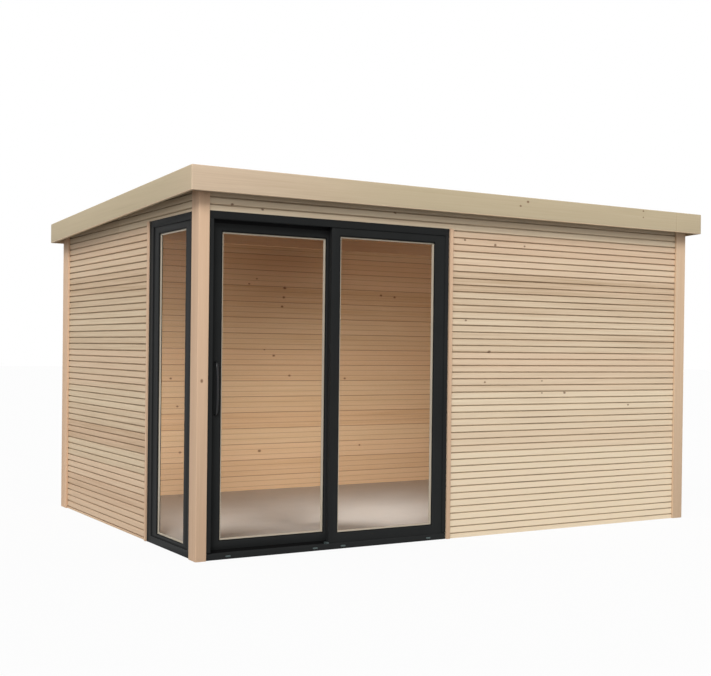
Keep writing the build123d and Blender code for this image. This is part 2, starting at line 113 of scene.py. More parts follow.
class Finish:
    """A material with one surface shader, and the methods that build its nodes."""

    def __init__(self, name):
        self.material = bpy.data.materials.new(name)
        self.material.use_nodes = True
        self.tree = self.material.node_tree
        self.tree.nodes.clear()

    def node(self, kind, settings=None, sockets=None, output=0):
        """Adds a node, sets its settings, then its sockets by name or number."""
        made = self.tree.nodes.new(kind)
        for key, value in (settings or {}).items():
            if key == "stops":
                ramp = made.color_ramp
                while len(ramp.elements) < len(value):
                    ramp.elements.new(0.5)
                for element, (place, colour) in zip(ramp.elements, value):
                    element.position, element.color = place, colour
            else:
                setattr(made, key, value)
        for key, value in (sockets or {}).items():
            if isinstance(value, Value):
                self.tree.links.new(value.socket, made.inputs[key])
            else:
                made.inputs[key].default_value = value
        return Value(self, made.outputs[output])

    def places(self):
        """The three Object coordinates, in metres from the shed's origin."""
        point = self.node("ShaderNodeTexCoord", output="Object")
        return [self.node("ShaderNodeSeparateXYZ", None, {0: point}, axis) for axis in range(3)]

    def vector(self, x, y, z):
        return self.node("ShaderNodeCombineXYZ", None, {0: x, 1: y, 2: z})

    def noise(self, vector, scale=1.0, detail=3.0, roughness=0.55, distortion=0.0):
        sockets = {"Vector": vector, "Scale": scale, "Detail": detail, "Roughness": roughness,
                   "Distortion": distortion}
        return self.node("ShaderNodeTexNoise", None, sockets, "Fac")

    def luck(self, number):
        """A value from 0 to 1 that is the same wherever the number is."""
        return self.node("ShaderNodeTexWhiteNoise", {"noise_dimensions": "1D"}, {"W": number}, "Value")

    def step(self, value, low, high):
        """Rises smoothly from 0 at low to 1 at high."""
        sockets = {"Value": value, "From Min": low, "From Max": high}
        return self.node("ShaderNodeMapRange", {"interpolation_type": "SMOOTHSTEP"}, sockets, "Result")

    def mix(self, factor, first, second, blend="MIX"):
        """Colour mix of two colours or links by a factor."""
        settings = {"data_type": "RGBA", "blend_type": blend}
        return self.node("ShaderNodeMix", settings, {0: factor, 6: first, 7: second}, 2)

    def ramp(self, factor, stops):
        return self.node("ShaderNodeValToRGB", {"stops": stops}, {"Fac": factor}, "Color")

    def bump(self, height, distance, strength=1.0):
        sockets = {"Height": height, "Distance": distance, "Strength": strength}
        return self.node("ShaderNodeBump", None, sockets, "Normal")

    def shade(self, **sockets):
        """Ends the tree in the Principled shader with these sockets, named with _ for a space."""
        named = {key.replace("_", " "): value for key, value in sockets.items()}
        shader = self.node("ShaderNodeBsdfPrincipled", None, named, "BSDF")
        return self.end(shader)

    def end(self, shader):
        output = self.tree.nodes.new("ShaderNodeOutputMaterial")
        self.tree.links.new(shader.socket, output.inputs["Surface"])
        return self.material


def colour(red, green, blue):
    """A display colour from 0 to 255 as the linear colour that sockets take."""
    display = np.array((red, green, blue)) / 255.0
    linear = np.where(display <= 0.04045, display / 12.92, ((display + 0.055) / 1.055) ** 2.4)
    return (*linear.tolist(), 1.0)


print("a display grey of 128 is", round(colour(128, 128, 128)[0], 3), "linear")

# %% [markdown]
# ## Studio
# The shed stands on a plain pale floor under soft light. Two wide lamps and an even sky light it at a
# plain level: one from high in front of the left corner, whose shade falls below the roof edge, and a
# low one that reaches through the glass. Two soft panels behind the door lift the room, which would
# stay dark behind glass. The floor shows white to the camera, but a part of its own shading stays, so
# that the shed still has a faint shadow.

# %% Studio
def lamp(name, azimuth, elevation, strength, spread):
    """A distant lamp that shines from that azimuth, measured from -Y towards -X, and elevation."""
    data = bpy.data.lights.new(name, "SUN")
    data.energy, data.angle = strength, math.radians(spread)
    lamp_object = bpy.data.objects.new(name, data)
    bpy.context.scene.collection.objects.link(lamp_object)
    side, height = math.radians(azimuth), math.radians(elevation)
    level_part = math.cos(height)
    source = Vector((-math.sin(side) * level_part, -math.cos(side) * level_part, math.sin(height)))
    lamp_object.rotation_mode = "QUATERNION"
    lamp_object.rotation_quaternion = source.to_track_quat("Z", "Y")
    return lamp_object


def panel(name, place, tilt, turn, power, size=0.8, spread=88.0):
    """A soft square lamp that faces the back wall, tipped down and turned right by degrees."""
    data = bpy.data.lights.new(name, "AREA")
    data.shape, data.size, data.size_y, data.energy = "RECTANGLE", size, size, power
    data.spread = math.radians(spread)
    panel_object = bpy.data.objects.new(name, data)
    bpy.context.scene.collection.objects.link(panel_object)
    panel_object.location = place
    panel_object.rotation_euler = (math.radians(90.0 - tilt), 0.0, math.radians(-turn))
    panel_object.visible_camera = panel_object.visible_glossy = False
    return panel_object


lamp("high_lamp", 41.0, 40.0, 2.2, 24.0)
lamp("low_lamp", 30.0, 12.0, 0.4, 50.0)
door_left, door_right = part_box("door_sill")[0].x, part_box("door_head")[1].x
panel_y, panel_z = -0.95, 0.65
panel("room_panel_left", (door_left + 0.55, panel_y, panel_z), 3.0, -3.0, 9.0)
panel("room_panel_right", (door_right - 0.5, panel_y, panel_z), 7.0, 42.0, 12.5)

sky_light, floor_tone, floor_white, white_share = 0.48, 0.38, 1.08, 0.86
world = bpy.data.worlds.new("studio")
bpy.context.scene.world = world
world.use_nodes = True
world_tree = world.node_tree
world_tree.nodes.clear()
ray = world_tree.nodes.new("ShaderNodeLightPath")
seen = world_tree.nodes.new("ShaderNodeMath")
seen.operation = "MAXIMUM"
seen_clear = world_tree.nodes.new("ShaderNodeMath")
seen_clear.operation = "MAXIMUM"
world_tree.links.new(ray.outputs["Is Camera Ray"], seen.inputs[0])
world_tree.links.new(ray.outputs["Is Glossy Ray"], seen.inputs[1])
world_tree.links.new(seen.outputs[0], seen_clear.inputs[0])
world_tree.links.new(ray.outputs["Is Transmission Ray"], seen_clear.inputs[1])
level_of = world_tree.nodes.new("ShaderNodeMapRange")
level_of.inputs["To Min"].default_value = sky_light
level_of.inputs["To Max"].default_value = 1.0
world_tree.links.new(seen_clear.outputs[0], level_of.inputs["Value"])
sky = world_tree.nodes.new("ShaderNodeBackground")
sky.inputs["Color"].default_value = (1.0, 1.0, 1.0, 1.0)
world_tree.links.new(level_of.outputs["Result"], sky.inputs["Strength"])
world_output = world_tree.nodes.new("ShaderNodeOutputWorld")
world_tree.links.new(sky.outputs[0], world_output.inputs["Surface"])

studio_floor = Finish("studio_floor")
by_camera, by_gloss, by_glass = (
    studio_floor.node("ShaderNodeLightPath", output=name)
    for name in ("Is Camera Ray", "Is Glossy Ray", "Is Transmission Ray"))
direct = by_camera.math("MAXIMUM", by_gloss).math("MAXIMUM", by_glass)
grey = (floor_tone, floor_tone, floor_tone, 1.0)
matt = studio_floor.node("ShaderNodeBsdfDiffuse", None, {"Color": grey}, "BSDF")
glow = {"Color": (1.0, 1.0, 1.0, 1.0), "Strength": floor_white}
white = studio_floor.node("ShaderNodeEmission", None, glow, "Emission")
mixed = {0: direct * white_share, 1: matt, 2: white}
studio_floor.end(studio_floor.node("ShaderNodeMixShader", None, mixed, "Shader"))

reach = 60
ground_mesh = bpy.data.meshes.new("ground")
ground_corners = [(-reach, -reach, 0), (reach, -reach, 0), (reach, reach, 0), (-reach, reach, 0)]
ground_mesh.from_pydata(ground_corners, [], [(0, 1, 2, 3)])
ground_mesh.materials.append(studio_floor.material)
ground = bpy.data.objects.new("ground", ground_mesh)
bpy.context.scene.collection.objects.link(ground)
ground.location.z = -0.0005
bpy.context.scene.view_settings.view_transform = "Standard"

# %% [markdown]
# ## Planed softwood
# All the wood is pale spruce. What the eye reads first is the tone of each log, then the streaks that
# run along it, then a few knots. A wave texture would repeat, so stretched noise is used: it is slow
# along the board and quick across it. Every log draws a number by its height, which shifts the noise
# and the tone, so that two logs never match.

# %% Planed softwood
rib_pitch, log_height = 0.045, 0.135
front_groove, side_groove = 0.032, 0.016
felt_thickness = 0.004
felt_low, felt_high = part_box("roof_felt")
deck_slope = (felt_high.z - felt_low.z - felt_thickness) / (felt_high.y - felt_low.y)
wall_top, wall_top_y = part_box("front_wall")[1].z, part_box("front_wall")[0].y


def softwood(name, along, across, tones, board=log_height, start=0.0, joints=(), knots=(),
             stray=0.5, groove=None, outside=0.0, foot=0.0, drift=None, gloss=0.62):
    """Wood whose grain runs along one axis; boards repeat across another from a start.

    Streaks are noise at 1 per metre along and about 70 per metre across. A knot is a spot where the
    distance from its centre, in metres, is less than its radius. foot lightens the lower part of a
    wall as painted light. On a wall, the outer face gets painted shade and dust in its grooves and
    painted shade under the eaves, and the inner face a thin line at each rib and a stronger one
    between two logs.
    """
    finish = Finish(name)
    axes = finish.places()
    a, b = axes[along], axes[across]
    c = axes[3 - along - across]
    number = ((b - start) / board).math("FLOOR")
    for place, above in joints:
        number = number + a.math("GREATER_THAN", place) * b.math("GREATER_THAN", above) * 17.0
    draw = finish.luck(number)
    other = finish.luck(number + 0.37)
    run = a + draw * 41.0
    figure = finish.noise(finish.vector(run * 0.9, b * 22.0, c * 22.0), detail=4.0, distortion=0.6)
    streak = finish.noise(finish.vector(run * 1.6, b * 95.0, c * 95.0), detail=4.0)
    fibre = finish.noise(finish.vector(run * 9.0, b * 900.0, c * 900.0), detail=2.0)
    tone = draw * 0.30 + figure * 0.45 + streak * 0.55 + fibre * 0.12 - 0.22
    dark, middle, light = tones
    wood = finish.ramp(tone, [(0.12, dark), (0.42, middle), (0.78, light)])
    blush = finish.step(other * 0.6 + figure * 0.6, 0.45, 0.85)
    wood = finish.mix(blush * 0.35, wood, colour(226, 188, 158))
    # Painted light: the lower part of the wall is mixed towards the light tone, fading out by 1.5 m up.
    if foot:
        wood = finish.mix((1.0 - finish.step(b, 0.1, 1.5)) * foot, wood, light)
    if drift is not None:
        begin, finish_at, tint = drift
        wood = finish.mix(finish.step(a, begin, finish_at) * 0.5, wood, tint)
    if groove is not None:
        outer = c.math("ABSOLUTE").math("GREATER_THAN", outside)
        wood = finish.mix((1.0 - outer) * 0.42, wood, colour(210, 160, 104))
    spots = None
    for (ka, kb, radius) in knots:
        far = finish.node("ShaderNodeVectorMath", {"operation": "LENGTH"},
                          {0: finish.vector((a - ka) * 0.75, b - kb, 0.0)}, "Value")
        spot = 1.0 - finish.step(far + (streak - 0.5) * 0.006, radius * 0.35, radius)
        spots = spot if spots is None else spots.math("MAXIMUM", spot)
    if stray:
        cell = finish.vector(a * 1.3 + draw * 9.0, b * 1.9, 0.5)
        cells, place = {"voronoi_dimensions": "3D"}, {"Vector": cell, "Scale": 1.0}
        near, pick = (finish.node("ShaderNodeTexVoronoi", cells, place, output)
                      for output in ("Distance", "Color"))
        chosen = finish.node("ShaderNodeSeparateColor", None, {0: pick}).math("GREATER_THAN", 1.0 - stray)
        small = (1.0 - finish.step(near, 0.008, 0.02)) * chosen * 0.75
        spots = small if spots is None else spots.math("MAXIMUM", small)
    if spots is not None:
        wood = finish.mix(spots * 0.8, wood, colour(112, 74, 46))
    height = streak * 0.5 + fibre * 0.35 + figure * 0.3
    if groove is not None:
        gap = (((b - groove) / rib_pitch + 0.5).math("FRACT") - 0.5).math("ABSOLUTE") * rib_pitch
        # Painted shade and dust in the outer grooves: their beds are darkened towards dark brown, more
        # strongly in slow patches.
        darkening = (1.0 - finish.step(gap, 0.0020, 0.0056)) * outer
        log = (((b - groove) / log_height + 0.5).math("FRACT") - 0.5).math("ABSOLUTE") * log_height
        rib_line = (1.0 - finish.step(gap, 0.0008, 0.0026)) * (0.25 + streak * 0.4)
        log_line = (1.0 - finish.step(log, 0.0010, 0.0036)) * 0.6
        line = rib_line.math("MAXIMUM", log_line) * (1.0 - outer)
        patch = finish.noise(finish.vector(a * 2.2 + draw * 13.0, b * 4.0, 0.0), detail=2.0)
        wood = finish.mix(darkening * (0.12 + patch * 0.66), wood, colour(96, 70, 48))
        wood = finish.mix(line, wood, colour(86, 58, 36))
        # Painted shade under the eaves: the outer face darkens towards brown within 0.09 m of the roof
        # boards' underside, fading out by 0.20 m below it.
        under_eaves = b + (axes[1] - wall_top_y) * deck_slope - wall_top
        painted_eaves_shade = finish.step(under_eaves, -0.20, -0.09) * outer * 0.45
        wood = finish.mix(painted_eaves_shade, wood, colour(100, 78, 50))
    return finish.shade(Base_Color=wood, Roughness=gloss + streak * 0.12,
                        Normal=finish.bump(height, 0.0007, 0.55), IOR=1.45)


shed_left, shed_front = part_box("front_left_post")[0].x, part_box("front_left_post")[0].y
left_joint = (shed_front + 1.451, 1.994)


def knots_at(*marks):
    """Knots from millimetres: the place from the left end, the height and the radius."""
    return [(shed_left + x / 1000.0, z / 1000.0, r / 1000.0) for x, z, r in marks]


# The front wall's tones are a few percent lighter than wall_tones, as painted light on the front face.
front_painted_light_tones = colour(180, 150, 116), colour(214, 190, 160), colour(237, 219, 190)
wall_tones = colour(176, 146, 112), colour(206, 182, 151), colour(226, 207, 177)
post_tones = colour(194, 161, 129), colour(206, 175, 144), colour(217, 190, 160)
fascia_tones = colour(158, 142, 114), colour(196, 180, 154), colour(220, 206, 181)
# Paler tones for the fascia's lower arris, a painted highlight.
painted_highlight_tones = colour(206, 184, 150), colour(232, 212, 180), colour(244, 228, 198)
plain_tones = colour(176, 140, 100), colour(205, 172, 132), colour(224, 196, 158)
weathered = colour(176, 168, 132)
front_knots = knots_at(
    (1924, 2001, 10), (2179, 1980, 12), (2434, 1986, 9), (2139, 1251, 13), (1939, 1461, 9),
    (2813, 967, 12), (2105, 1044, 9), (3429, 871, 9), (2605, 1051, 7), (2606, 966, 7),
    (218, 2111, 10), (418, 2095, 10), (1367, 2143, 10))
back_knots = knots_at(
    (1910, 1778, 16), (1902, 1697, 14), (1887, 1617, 13), (2890, 1746, 14), (3036, 1735, 14),
    (1811, 1193, 13), (1965, 1021, 13), (2519, 994, 12), (1722, 1243, 8), (1572, 1801, 10),
    (1643, 1847, 9), (1685, 377, 15), (2680, 394, 11), (875, 999, 12), (935, 769, 11), (963, 390, 13))
fascia_knots = knots_at((2381, 2281, 11), (2317, 2249, 9), (3462, 2296, 8), (3462, 2250, 8))

# foot lightens the lower wall as painted light: strongly on the front, a little at the back.
front_wood = softwood("ribbed_wood_front", 0, 2, front_painted_light_tones, start=front_groove, knots=front_knots,
                      groove=front_groove, outside=1.298, foot=0.9)
back_wood = softwood("ribbed_wood_back", 0, 2, wall_tones, start=front_groove, knots=back_knots,
                     groove=front_groove, outside=1.325, foot=0.2)
side_wood = softwood("ribbed_wood_side", 1, 2, wall_tones, start=side_groove, joints=(left_joint,),
                     groove=side_groove, outside=1.955)
post_wood = softwood("post_wood", 2, 0, post_tones, board=0.5, stray=0.35,
                     knots=((1.062, shed_left + 0.029, 0.012),))
fascia_wood = softwood("fascia_wood_front", 0, 2, fascia_tones, board=5.0, start=-1.0, stray=0.3,
                       knots=fascia_knots, drift=(shed_left, shed_left + 1.6, weathered))
fascia_side_wood = softwood("fascia_wood_side", 1, 2, fascia_tones, board=5.0, start=-1.0, stray=0.3,
                            drift=(shed_front - 1.0, shed_front + 0.6, weathered))
fascia_highlight_wood = softwood("fascia_wood_painted_highlight", 0, 2, painted_highlight_tones, board=5.0, start=-1.0, stray=0.0)
purlin_wood = softwood("plain_timber_across", 0, 1, plain_tones, board=0.3, gloss=0.75)
deck_wood = softwood("plain_timber_deep", 1, 0, plain_tones, board=0.096, gloss=0.75)
print("wood finishes", [m.name for m in bpy.data.materials if "wood" in m.name or "timber" in m.name])

# %% [markdown]
# ## Metal, glass, plastic, paint and felt
# The aluminium bars are powder coated: nearly black, satin, with a fine orange peel.
# The glass is a thin clear sheet, so it is drawn by its alpha, which rises at a glancing angle: that
# lets the light through to the room, where a solid glass shader would leave it dark.

# %% Metal, glass, plastic, paint and felt
def powder_coat(name, base, roughness, peel, shine=0.5):
    """Even coat: slow noise moves the tone by a few percent, fine noise dents the surface."""
    finish = Finish(name)
    x, y, z = finish.places()
    point = finish.vector(x, y, z)
    slow = finish.noise(point, 3.0, 3.0)
    fine = finish.noise(point, 900.0, 2.0)
    darker, lighter = (tuple(v * share for v in base[:3]) + (1.0,) for share in (0.82, 1.2))
    coat = finish.mix(slow, darker, lighter)
    return finish.shade(Base_Color=coat, Roughness=roughness + slow * 0.12,
                        Normal=finish.bump(fine, peel, 0.3), IOR=1.5, Specular_IOR_Level=shine)


frame_coat = powder_coat("dark_frame", colour(38, 39, 39), 0.45, 0.0003, shine=0.05)
handle_coat = powder_coat("handle_metal", colour(16, 17, 19), 0.24, 0.0001, shine=0.4)
rubber = powder_coat("black_rubber", colour(14, 14, 14), 0.6, 0.0002, shine=0.1)
nylon = powder_coat("black_plastic", colour(14, 14, 15), 0.6, 0.0003, shine=0.1)
pale_cap = powder_coat("pale_plastic", colour(70, 82, 81), 0.4, 0.0002)
spacer_metal = powder_coat("spacer_metal", colour(196, 184, 164), 0.45, 0.0002)

zinc = Finish("running_gear")
x, y, z = zinc.places()
grain = zinc.noise(zinc.vector(x, y, z), 160.0, 3.0)
running_gear = zinc.shade(Base_Color=zinc.mix(grain, colour(150, 152, 156), colour(205, 206, 208)),
                          Metallic=1.0, Roughness=0.3 + grain * 0.2)

pane = Finish("glazing")
x, y, z = pane.places()
haze = pane.noise(pane.vector(x, y, z), 2.0, 2.0)
facing = pane.node("ShaderNodeLayerWeight", None, {"Blend": 0.25}, "Facing")
glazing = pane.shade(Base_Color=pane.mix(haze, colour(38, 46, 44), colour(58, 66, 62)),
                     Roughness=0.02 + haze * 0.02,
                     Alpha=0.03 + haze * 0.01 + facing.math("POWER", 4.0) * 0.5, IOR=1.5)

paint = Finish("grey_floor")
x, y, z = paint.places()
cloud = paint.noise(paint.vector(x * 1.2, y * 3.0, z), 2.0, 4.0)
speck = paint.noise(paint.vector(x, y, z), 300.0, 2.0)
boards = (((x + 2.0) / 0.12).math("FRACT") - 0.5).math("ABSOLUTE")
seam = paint.step(boards, 0.488, 0.497)
tint = paint.mix(cloud, colour(176, 169, 160), colour(194, 188, 181))
grey_floor = paint.shade(Base_Color=paint.mix(seam * 0.25, tint, colour(120, 112, 104)),
                         Roughness=0.45 + cloud * 0.15, Normal=paint.bump(speck * 0.4 - seam, 0.0004, 0.5))

mineral = Finish("roofing_felt")
x, y, z = mineral.places()
grit = mineral.noise(mineral.vector(x, y, z), 700.0, 2.0)
darkening = mineral.noise(mineral.vector(x, y, z), 1.6, 5.0)
chips = mineral.ramp(grit, [(0.35, colour(46, 50, 54)), (0.55, colour(74, 79, 84)),
                            (0.75, colour(120, 124, 126))])
roofing_felt = mineral.shade(Base_Color=mineral.mix(darkening * 0.35, chips, colour(60, 62, 60)),
                             Roughness=0.85 + grit * 0.1, Normal=mineral.bump(grit, 0.0012, 0.8))
print("finishes", len(bpy.data.materials))

# %% [markdown]
# ## Pieces from arrays
# A new piece is a grid of points: its rows and columns are two parameters of a surface. The points are
# computed at once as an array, the quads follow from the grid's shape, and the mesh takes both. Points
# that fall together, such as at a pole, are merged so that the shell is closed.

# %% Pieces from arrays
def grid_quads(rows, columns, wrap_rows=False, wrap_columns=False, first=0):
    """Corner numbers of the quads of a grid whose points are counted row by row."""
    r = np.arange(rows if wrap_rows else rows - 1)
    c = np.arange(columns if wrap_columns else columns - 1)
    r, c = np.meshgrid(r, c, indexing="ij")
    below, beside = (r + 1) % rows, (c + 1) % columns
    corners = (r * columns + c, r * columns + beside, below * columns + beside, below * columns + c)
    return np.stack(corners, axis=-1).reshape(-1, 4) + first


def add_piece(name, points, quads, material, body="shed", stands_for=(), smooth=30.0):
    """Makes a closed piece from points and quads, in the shed's metres, and gives it its body."""
    mesh = bpy.data.meshes.new(name)
    mesh.from_pydata(np.asarray(points).reshape(-1, 3).tolist(), [], np.asarray(quads).tolist())
    shell = bmesh.new()
    shell.from_mesh(mesh)
    bmesh.ops.remove_doubles(shell, verts=shell.verts, dist=2e-6)
    bmesh.ops.dissolve_degenerate(shell, edges=shell.edges, dist=1e-7)
    bmesh.ops.recalc_face_normals(shell, faces=shell.faces)
    shell.to_mesh(mesh)
    shell.free()
    mesh.polygons.foreach_set("use_smooth", np.ones(len(mesh.polygons), dtype=bool))
    mesh.set_sharp_from_angle(angle=math.radians(smooth))
    mesh.materials.append(material)
    piece = bpy.data.objects.new(name, mesh)
    bpy.context.scene.collection.objects.link(piece)
    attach(piece, body)
    if stands_for:
        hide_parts(*stands_for)
    print(name, "faces", len(mesh.polygons))
    return piece


# %% [markdown]
# ## Log walls
# Each wall is a stack of logs 135 mm high. A log has three flat ribs outside with a groove every 45 mm,
# and small lines at the same heights inside. The wall could be one box with a bump map, but its edge
# would stay straight. It is a surface instead: the height and the place along the wall are its two
# parameters, and a groove function of the height pushes the face in. The top is cut by the roof.

# %% Log walls
def under_roof(y):
    """Height of the underside of the roof boards at that place from front to back."""
    return wall_top - deck_slope * (y - wall_top_y)


def from_groove(height, first):
    """Distance to the nearest groove's middle."""
    return np.abs((height - first + rib_pitch / 2.0) % rib_pitch - rib_pitch / 2.0)


def groove_depth(height, first):
    """9 mm deep within 2.4 mm of a groove's middle, rising smoothly to 0 at 5.6 mm from it."""
    off = from_groove(height, first)
    rise = np.clip((0.0056 - off) / 0.0032, 0.0, 1.0)
    return 0.009 * rise * rise * (3.0 - 2.0 * rise)


def inner_line(height, first):
    """A line inside at each rib joint: 3 mm deep between logs and 1 mm between a log's ribs."""
    count = np.round((height - first) / rib_pitch)
    deep = np.where(count % 3 == 0, 0.003, 0.001)
    return deep * np.clip(1.0 - from_groove(height, first) / 0.0034, 0.0, 1.0)


def log_wall(name, node, along, outward, first, material, joint=None):
    """A wall from its node's box; along is the axis it runs on, outward the sign of its outer side."""
    low, high = (np.array(v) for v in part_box(node))
    through = 1 - along
    offsets = np.array((-22.5, -5.6, -4.8, -4.0, -3.2, -2.4, 0.0, 2.4, 3.2, 4.0, 4.8, 5.6)) / 1000.0
    counts = np.arange(-1, int(high[2] / rib_pitch) + 2)
    heights = first + counts[:, None] * rib_pitch + offsets
    heights = np.unique(np.clip(heights.ravel(), low[2], high[2]))
    stations = np.linspace(low[along], high[along], max(3, int((high[along] - low[along]) / 0.16)))
    if joint:
        beside = np.array((-2.5, -0.8, 0.8, 2.5)) / 1000.0
        stations = np.unique(np.concatenate([stations, joint[0] + beside]))
    outer, inner = (high, low) if outward > 0 else (low, high)
    h, s = np.meshgrid(heights, stations, indexing="ij")
    sides = []
    for face, sign in ((outer[through], -outward), (inner[through], outward)):
        y = s if along == 1 else np.full_like(s, face)
        z = np.minimum(h, under_roof(y))
        if sign == -outward:
            log = np.floor((z - first) / log_height)
            wave = 0.5 + 0.5 * np.sin(s * 2.1 + log * 4.7)
            push = groove_depth(z, first) + 0.0004 * wave
            if joint:
                cut = np.clip(1.0 - np.abs(s - joint[0]) / 0.0018, 0.0, 1.0) * (z > joint[1])
                push = np.maximum(push, 0.004 * cut)
        else:
            push = inner_line(z, first)
        point = np.empty(h.shape + (3,))
        point[..., along], point[..., through], point[..., 2] = s, face + sign * push, z
        sides.append(point)
    ring = np.concatenate([sides[0], sides[1][::-1]])
    rows, columns = ring.shape[:2]
    quads = [grid_quads(rows, columns, wrap_rows=True)]
    step = np.arange(len(heights) - 1)
    for column in (0, columns - 1):
        outside, inside = step * columns + column, (rows - 1 - step) * columns + column
        quads.append(np.stack([outside, outside + columns, inside - columns, inside], axis=-1))
    return add_piece(name, ring, np.concatenate(quads), material, stands_for=(node,),
                     smooth=40.0)


log_wall("front_logs", "front_wall", 0, -1, front_groove, front_wood)
log_wall("door_head_logs", "door_head_wall", 0, -1, front_groove, front_wood)
log_wall("back_logs", "back_wall", 0, 1, front_groove, back_wood)
log_wall("left_logs", "left_wall", 1, -1, side_groove, side_wood, joint=left_joint)
log_wall("window_head_logs", "window_head_wall", 1, -1, side_groove, side_wood)
log_wall("right_logs", "right_wall", 1, 1, side_groove, side_wood)

# %% [markdown]
# ## Eased solids
# The posts, boards and frame bars have the right shape in the solid model, but their edges are sharp,
# and a real edge is what catches the light. A copy of the mesh is merged, its flat faces are joined,
# and a bevel of one or two millimetres goes on as a modifier, so the solid itself is never touched.

# %% Eased solids
def eased(node, material, radius, body="shed"):
    """A copy of a node with its sharp edges rounded by a radius in metres."""
    source = nodes[node]
    shell = bmesh.new()
    shell.from_mesh(source.data)
    bmesh.ops.remove_doubles(shell, verts=shell.verts, dist=1e-5)
    bmesh.ops.dissolve_limit(shell, angle_limit=math.radians(0.5), verts=shell.verts, edges=shell.edges)
    mesh = bpy.data.meshes.new(node + "_eased")
    shell.to_mesh(mesh)
    shell.free()
    mesh.materials.clear()
    mesh.materials.append(material)
    mesh.polygons.foreach_set("use_smooth", np.ones(len(mesh.polygons), dtype=bool))
    piece = bpy.data.objects.new(node + "_eased", mesh)
    bpy.context.scene.collection.objects.link(piece)
    bevel = piece.modifiers.new("edge", "BEVEL")
    bevel.width, bevel.segments, bevel.limit_method = radius, 2, "ANGLE"
    bevel.angle_limit, bevel.harden_normals = math.radians(35.0), True
    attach(piece, body)
    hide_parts(node)
    return piece


post_nodes = ("front_left_post", "front_right_corner_board", "back_right_corner_board",
              "back_left_corner_board", "door_strip", "window_strip")
frame_nodes = ("door_head", "door_left_jamb", "door_right_jamb", "fixed_leaf_frame", "window_frame",
               "window_cover", "window_sash")
for node in post_nodes:
    eased(node, post_wood, 0.0015)
for node in frame_nodes:
    eased(node, frame_coat, 0.001)
eased("door_sill", frame_coat, 0.0024)
eased("sliding_leaf_frame", frame_coat, 0.001, body="sliding_leaf")

# %% [markdown]
# ## Fascia
# Four boards close the roof's edge, with their arrises rounded by planing and weather: the lower one
# shows as a light line over the shade of the eaves. Boards and bevels would leave a slot at each
# mitre, so the four are one profile carried round the roof. Its corners are arcs of 9 mm, and its
# height over the ground falls with the roof. The one joint in the front board is a notch in the path.
# The lower arris takes a paler wood as a painted highlight, for the light line along it.

# %% Fascia
fascia_nodes = ("fascia_front", "fascia_right", "fascia_back", "fascia_left")


def fascia_ring(name, notch_x, corner=0.009, thick=0.018):
    """Profile point (o inward, h up) at a station: A + (corner - o) * direction, raised to the roof.

    On an arc, points further in than the radius would cross, so they use the diagonal instead and
    meet in the sharp inner corner.
    """
    low = np.min([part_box(n)[0] for n in fascia_nodes], axis=0)
    high = np.max([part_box(n)[1] for n in fascia_nodes], axis=0)
    front_low, front_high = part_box("fascia_front")
    height = front_high.z - front_low.z - deck_slope * thick
    turn = np.linspace(0.0, math.pi / 2.0, 6)
    foot, head = 0.005, 0.006
    lower = [(foot - foot * math.sin(t), foot - foot * math.cos(t)) for t in turn]
    upper = [(head - head * math.cos(t), height - head + head * math.sin(t)) for t in turn]
    profile = np.array([(thick, 0.0)] + lower + upper + [(thick, height)])
    place, direction, diagonal = [], [], []
    inner = np.array(((low[0] + corner, low[1] + corner), (high[0] - corner, low[1] + corner),
                      (high[0] - corner, high[1] - corner), (low[0] + corner, high[1] - corner)))
    for k in range(4):
        begin = math.pi * (1.0 + 0.5 * k)
        arc = begin + turn
        unit = np.stack([np.cos(arc), np.sin(arc)], axis=-1)
        place.append(np.repeat(inner[k][None], len(turn), axis=0))
        direction.append(unit)
        diagonal.append(np.repeat((unit[0] + unit[-1])[None], len(turn), axis=0))
        run = np.linspace(inner[k], inner[(k + 1) % 4], 12)[1:-1]
        if k == 0:
            beside = (-0.0012, -0.0006, 0.0006, 0.0012)
            run = np.concatenate([run, [(notch_x + d, inner[0][1]) for d in beside]])
            run = run[np.argsort(run[:, 0])]
        place.append(run)
        direction.append(np.repeat(unit[-1][None], len(run), axis=0))
        diagonal.append(direction[-1])
    place, direction, diagonal = (np.concatenate(v) for v in (place, direction, diagonal))
    cut = (np.abs(place[:, 0] - notch_x) < 0.001) & (np.abs(direction[:, 1] + 1.0) < 1e-6)
    inward = np.maximum(profile[None, :, 0], 0.003 * cut[:, None])
    way = np.where(inward[..., None] <= corner, direction[:, None, :], diagonal[:, None, :])
    point = np.empty(inward.shape + (3,))
    point[..., :2] = place[:, None, :] + (corner - inward)[..., None] * way
    top = high[2] - deck_slope * (point[..., 1] - low[1])
    point[..., 2] = top - height + profile[None, :, 1]
    quads = grid_quads(len(place), len(profile), True, True)
    ring = add_piece(name, point, quads, fascia_wood, stands_for=fascia_nodes)
    ring.data.materials.append(fascia_side_wood)
    ring.data.materials.append(fascia_highlight_wood)
    middle = np.empty(len(ring.data.polygons) * 3, dtype=np.float32)
    ring.data.polygons.foreach_get("center", middle)
    middle = middle.reshape(-1, 3)
    to_side = np.minimum(middle[:, 0] - low[0], high[0] - middle[:, 0])
    to_front = np.minimum(middle[:, 1] - low[1], high[1] - middle[:, 1])
    over_foot = middle[:, 2] - (high[2] - deck_slope * (middle[:, 1] - low[1]) - height)
    # The faces of the lower arris get the paler wood in slot 2, a painted highlight.
    highlight_arris = (over_foot > 0.0002) & (over_foot < foot) & (np.minimum(to_side, to_front) < foot)
    which = np.where(highlight_arris, 2, to_side < to_front).astype(np.int32)
    ring.data.polygons.foreach_set("material_index", which)
    return ring


fascia_ring("fascia_boards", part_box("fascia_front")[1].x - 0.265)

# %% [markdown]
# ## Roof felt
# The roof is covered with mineral felt in three lengths that run along the shed. Each upper length laps
# over the lower one, so that water runs off. One flat sheet would look lifeless from above: this one is
# a grid whose height holds the laps, a slow swell and a wavy edge, all within the felt's thickness.

# %% Roof felt
lap_places = felt_low.y + (felt_high.y - felt_low.y) * np.array((0.345, 0.69))


